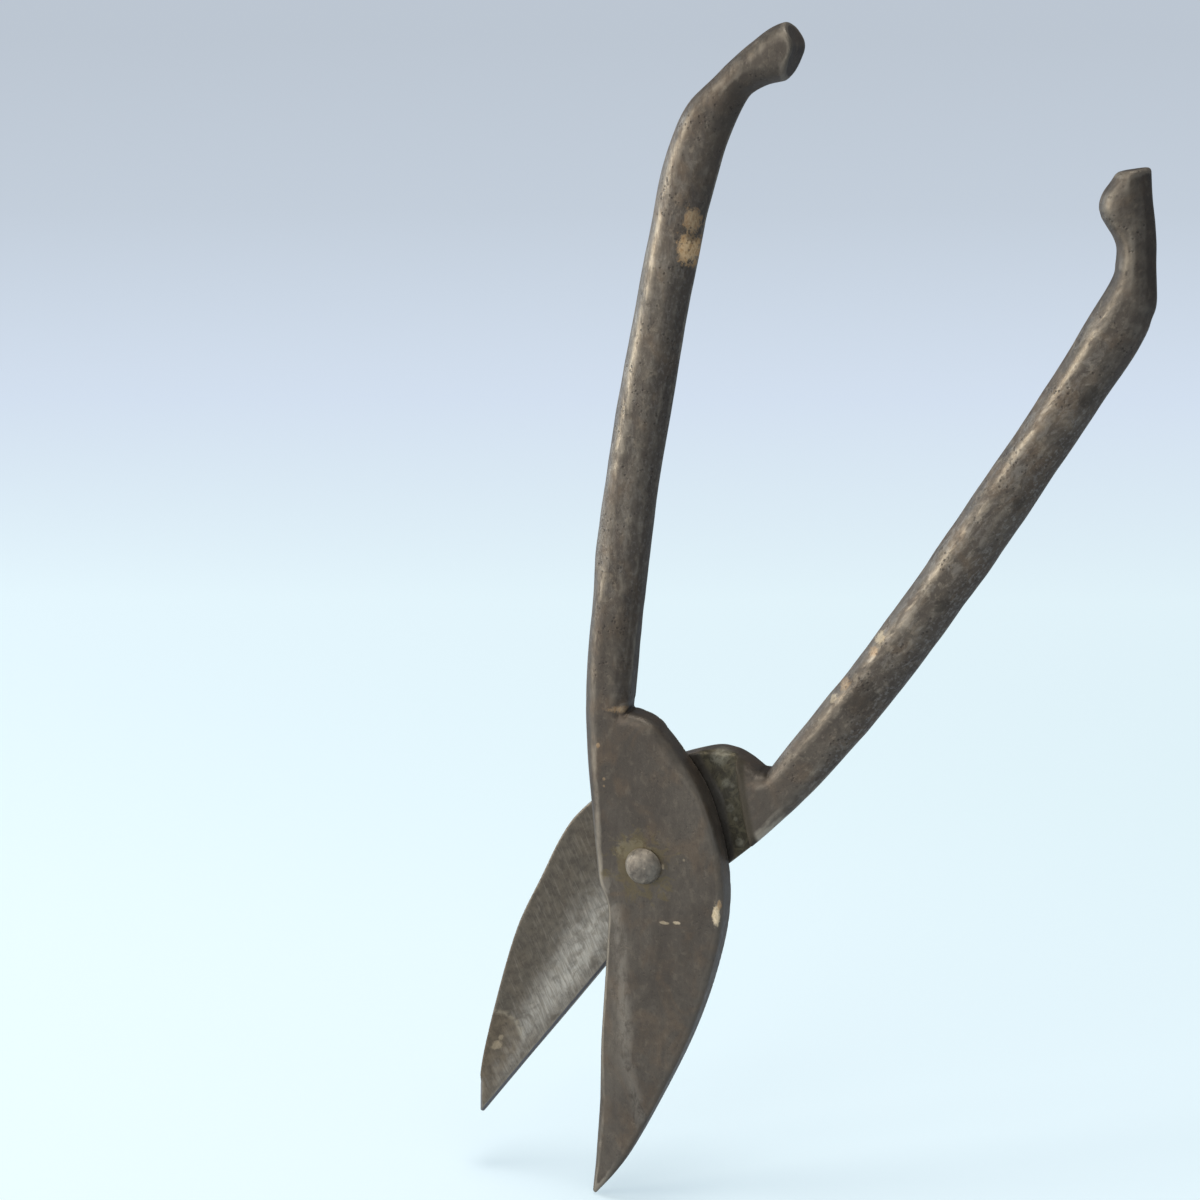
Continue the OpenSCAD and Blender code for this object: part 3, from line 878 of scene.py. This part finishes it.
def forging_material(name, rear):
    shader = Shader(name)
    paint = shader.paint
    own = shader.attribute("own", "Vector")
    x, y, z = own.split()
    normal_x, normal_y, _ = shader.attribute("side_n", "Vector").split()
    ground, wall, jaw_side, around, band, length = (
        shader.attribute(key)
        for key in ("ground", "wall", "jaw_side", "around", "band", "s_len"))
    handle = length.ease(start=36, end=60)
    cloud = own.noise(size=(17, 17, 30), detail=4, rough=.55, warp=.6)
    mottle = own.noise(size=(2.1, 2.1, 2.8), detail=5, rough=.62, warp=.2)
    grain = own.noise(size=(.9, .9, 1.2), detail=4, rough=.65, warp=.2)

    paint_scale(shader, own, cloud, mottle, grain, handle, around, length, rear)
    rub_highlight = paint_wear(shader, own, mottle, handle, around, length, wall, jaw_side, rear)
    if not rear:
        # Painted shade: the jaw's narrow left side is darkened against the key light that falls
        # on it
        flank = normal_x.ease(start=-.30, end=-.70) * jaw_side * handle.inverse()
        paint(flank, (62, 57, 51), strength=.60)
    # Handles are rougher, mottling varies the gloss, and rubbing polishes
    shader.rough = .50 + handle * .08 + (mottle - .5) * .50 - rub_highlight * .10
    shader.metal = .58 + (cloud - .5) * .3

    # The ground face, brightest on the front half where it meets the flat
    ground_noise = own.noise(size=(2.6, 2.6, 6.0), detail=4, rough=.62, warp=.4)
    paint(ground * (ground_noise.ease(start=.20, end=.60)
                    * z.ease(start=-90, end=-62, first=.15)), (122, 115, 104), strength=.27)
    if not rear:
        paint(band * ground_noise.ease(start=.40, end=.60), (156, 149, 137), strength=.32)
    # The bevel on the mating side, painted blue-grey as a reflection of the pale backdrop
    bevel = (normal_y.ease(start=.45, end=.6) * normal_y.ease(start=.88, end=.8)
             * (jaw_side * z.ease(start=-8, end=-18)))
    paint(bevel, (80, 88, 104), strength=.7)
    if rear:
        mating = shader.attribute("mating")
        brushed = paint_rear_face(shader, own, mottle, band, mating, x, y, z)
    # The wall of the step is dark and dull: dirt, and painted shade along its rounded top
    paint(wall, (56, 50, 36), strength=.80)
    shader.metal = shader.metal * (wall * .7).inverse()
    shader.rough = shader.rough + wall * .25

    paint_spots(shader, own, REAR_SPOTS if rear else FRONT_SPOTS)
    if not rear:
        # Oil stain spread round the rivet, with a painted highlight arc at its upper left
        stain = own.noise(size=3.2, detail=4, rough=.65, warp=.8)
        paint(own.blob((-.8, -8, -.4), (7.0, 30, 7.2), stain, ragged=2.2, soft=.45),
              (112, 99, 66), strength=.50)
        highlight_noise = own.noise(size=1.6, detail=4, rough=.7, warp=.8)
        paint(own.blob((-2.9, -8, 3.9), (4.2, 30, 2.6), highlight_noise, ragged=2.0, soft=.4),
              (150, 140, 110), strength=.35)
    # Fine pits, fewer on the plates, and lengthwise file marks
    pits = (own.cells(size=1.25).ease(start=.36, end=.12)
            * own.noise(size=7.0, detail=3, rough=.6).ease(start=.46, end=.60))
    pits = pits * (.35 + handle * .65)
    paint(pits, (50, 44, 39), strength=.60)
    fine = own.noise(size=.55, detail=4, rough=.6)
    marks = own.noise(size=(.35, .35, 9.0), detail=3, rough=.6)
    height = mottle * .9 + fine * .35 + marks * .15 - pits * .9
    if rear:
        # The mating face is flatter and takes the brush marks
        height = height * (1.0 - mating * .55) + brushed * mating * .30
    shader.metal = shader.math("MINIMUM", shader.metal, 1.0, clamp=True)
    return shader.finish(height, distance=.00011)


def rivet_material(name, base, light):
    shader = Shader(name)
    paint = shader.paint
    own = shader.attribute("own", "Vector")
    edge = shader.attribute("edge")
    mottle = own.noise(size=1.5, detail=5, rough=.62, warp=.4)
    fine = own.noise(size=.4, detail=4, rough=.6)
    cloud = own.noise(size=4.2, detail=3, rough=.5, warp=.5)
    shader.colour = cloud.two_tone(base, light, start=.3, end=.7)
    # Dark mottling at half the base colour's linear value
    shader.colour = shader.mix(mottle.ease(start=.5, end=.28) * .6, shader.colour,
                               tuple(k * .5 for k in srgb(*base)))
    paint(mottle.ease(start=.58, end=.75), (178, 170, 156), strength=.5)
    # Worn edges, dark corners
    paint((edge + (mottle - .5) * .8).ease(start=.15, end=.8), (178, 168, 150), strength=.5)
    paint(edge.ease(start=-.1, end=-.7), (50, 44, 34))
    shader.metal = .68
    shader.rough = .56 + (mottle - .5) * .40
    return shader.finish(mottle * 1.3 + fine * .5, distance=.00012)


# ---------------------------------------------------------------- build the pieces
front = make_half("front_forging_body", rear=False)
rear = make_half("rear_forging_body", rear=True)
front.data.materials.append(forging_material("front_steel", rear=False))
rear.data.materials.append(forging_material("rear_steel", rear=True))
rivet = make_round("rivet_hammered", rivet_field, low=(-6.3, -12.3, -6.3),
                   high=(6.3, 12.9, 6.3), cell=.22, seed=11, relief=.20, ends_only=True)
washer = make_round("washer_dark", washer_field, low=(-9.4, 7.4, -9.4),
                    high=(9.4, 10.4, 9.4), cell=.24, seed=21, relief=.04, ends_only=False)
rivet.data.materials.append(
    rivet_material("rivet_steel", base=(112, 105, 96), light=(134, 127, 116)))
washer.data.materials.append(
    rivet_material("washer_steel", base=(84, 78, 70), light=(100, 93, 84)))

for piece, carrier, cad_piece, slot in (
        (front, "front_half", "front_blade_and_handle", "front_forging"),
        (rear, "rear_half", "rear_blade_and_handle", "rear_forging"),
        (rivet, "front_half", "pivot_rivet", "rivet"),
        (washer, "front_half", "rivet_washer", "washer")):
    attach(piece, carrier)
    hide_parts(cad_piece)


# ---------------------------------------------------------------- stage, in metres
FLOOR_HALF = 60.0
FLOOR_Z = -.0004
# Floor glow colour by d / (d + 1), d being the distance behind the object: painted light, pale
# near the object and dimmer grey-blue farther off
FLOOR_COLOURS = [(.05, (229, 246, 250)), (.28, (230, 248, 251)), (.432, (232, 249, 254)),
                 (.595, (214, 227, 243)), (.761, (198, 209, 222)), (.924, (191, 201, 213))]
# Lights: name, place, height aimed at on the Z axis, size, power, colour
LIGHTS = [
    ("key", (-1.32, -.78, .36), .16, (.42, .80), 14.4, (1.0, .95, .87)),
    ("front", (-.55, -1.5, .75), .12, (1.2, .9), 10.0, (1.0, .97, .93)),
    ("top", (.08, -.12, 1.45), .1, (.45, .45), 10.0, (1.0, .98, .95)),
    ("left_fill", (-1.5, .38, .42), .16, (.8, .8), 12.0, (.80, .90, 1.0)),
    ("right_fill", (1.4, -.55, .30), .16, (.7, .7), 1.6, (.80, .90, 1.0))]
AMBIENT = (.72, .80, .92, 1), .22                     # colour and strength of the world
HORIZON = srgb(190, 200, 212) + (1,), .97             # what the camera sees of it
VIEW = (-.3369, .9108, -.2385)                        # camera's direction
EYE_FROM_PIVOT = (.21839, -.63202, .23586)


def floor_material():
    shader = Shader("stage_floor")
    x, y, _ = shader.node("ShaderNodeNewGeometry", {}, "Position").split()
    distance = (y - x * .35).max(0.0)
    far = distance / (distance + 1.0)
    colour = shader.node("ShaderNodeValToRGB", {0: far})
    elements = colour.socket.node.color_ramp.elements
    while len(elements) < len(FLOOR_COLOURS):
        elements.new(1.0)
    for element, (place, levels) in zip(list(elements), FLOOR_COLOURS):
        element.position = place
        element.color = srgb(*levels) + (1.0,)
    # Near the object the floor takes shadows; farther off it only glows
    near = far.ease(start=.62, end=.15)
    # The glow is bluer near the object, so that the shadows there read blue
    lit = shader.mix(near * .52, (0, 0, 0), shader.mix(1.0, colour, (.98, .93, .90), "MULTIPLY"))
    glow = shader.mix(near * .8, colour, shader.mix(1.0, colour, (.94, .98, 1.06), "MULTIPLY"))
    diffuse = shader.node("ShaderNodeBsdfDiffuse", {"Color": lit})
    emission = shader.node("ShaderNodeEmission", {"Color": glow, "Strength": .97 - near * .385})
    seen = shader.node("ShaderNodeAddShader", {0: diffuse, 1: emission})
    # The glow is for the camera; the steel sees a quieter floor
    quiet = shader.node("ShaderNodeBsdfDiffuse", {"Color": (.56, .62, .68, 1)})
    camera_ray = shader.node("ShaderNodeLightPath", {}, "Is Camera Ray")
    return shader.output(shader.node("ShaderNodeMixShader", {0: camera_ray, 1: quiet, 2: seen}))


def make_floor():
    mesh = bpy.data.meshes.new("stage_floor")
    w = FLOOR_HALF
    mesh.from_pydata([(-w, -w, 0), (w, -w, 0), (w, w, 0), (-w, w, 0)], [], [(0, 1, 2, 3)])
    floor = link("stage_floor", mesh)
    floor.location.z = FLOOR_Z
    mesh.materials.append(floor_material())


def make_light(name, place, aim_height, size, power, colour):
    data = bpy.data.lights.new(name, "AREA")
    data.shape = "RECTANGLE"
    data.size, data.size_y = size
    data.energy = power
    data.color = colour
    light = link(name, data)
    light.location = place
    aim = Vector((0, 0, aim_height)) - Vector(place)
    light.rotation_euler = aim.to_track_quat("-Z", "Y").to_euler()


def make_world():
    world = bpy.data.worlds.new("studio")
    bpy.context.scene.world = world
    world.use_nodes = True
    nodes, links = world.node_tree.nodes, world.node_tree.links
    ambient, horizon = nodes["Background"], nodes.new("ShaderNodeBackground")
    for node, (colour, strength) in ((ambient, AMBIENT), (horizon, HORIZON)):
        node.inputs[0].default_value = colour
        node.inputs[1].default_value = strength
    ray = nodes.new("ShaderNodeLightPath")
    pick = nodes.new("ShaderNodeMixShader")
    links.new(ray.outputs["Is Camera Ray"], pick.inputs[0])
    links.new(ambient.outputs[0], pick.inputs[1])
    links.new(horizon.outputs[0], pick.inputs[2])
    links.new(pick.outputs[0], nodes["World Output"].inputs[0])


def make_camera():
    data = bpy.data.cameras.new("camera")
    data.sensor_width = 36.0
    data.lens = 78.0
    data.clip_end = 200.0
    camera = link("camera", data)
    forward = Vector(VIEW).normalized()
    right = forward.cross(Vector((0, 0, 1))).normalized()
    up = right.cross(forward)
    eye = Vector(tuple(PIVOT / MM_PER_M)) + Vector(EYE_FROM_PIVOT)
    rows = [(right[k], up[k], -forward[k], eye[k]) for k in range(3)]
    camera.matrix_world = Matrix(rows + [(0, 0, 0, 1)])
    bpy.context.scene.camera = camera


make_floor()
for light_row in LIGHTS:
    make_light(*light_row)
make_world()
make_camera()
bpy.context.scene.view_settings.view_transform = "Standard"
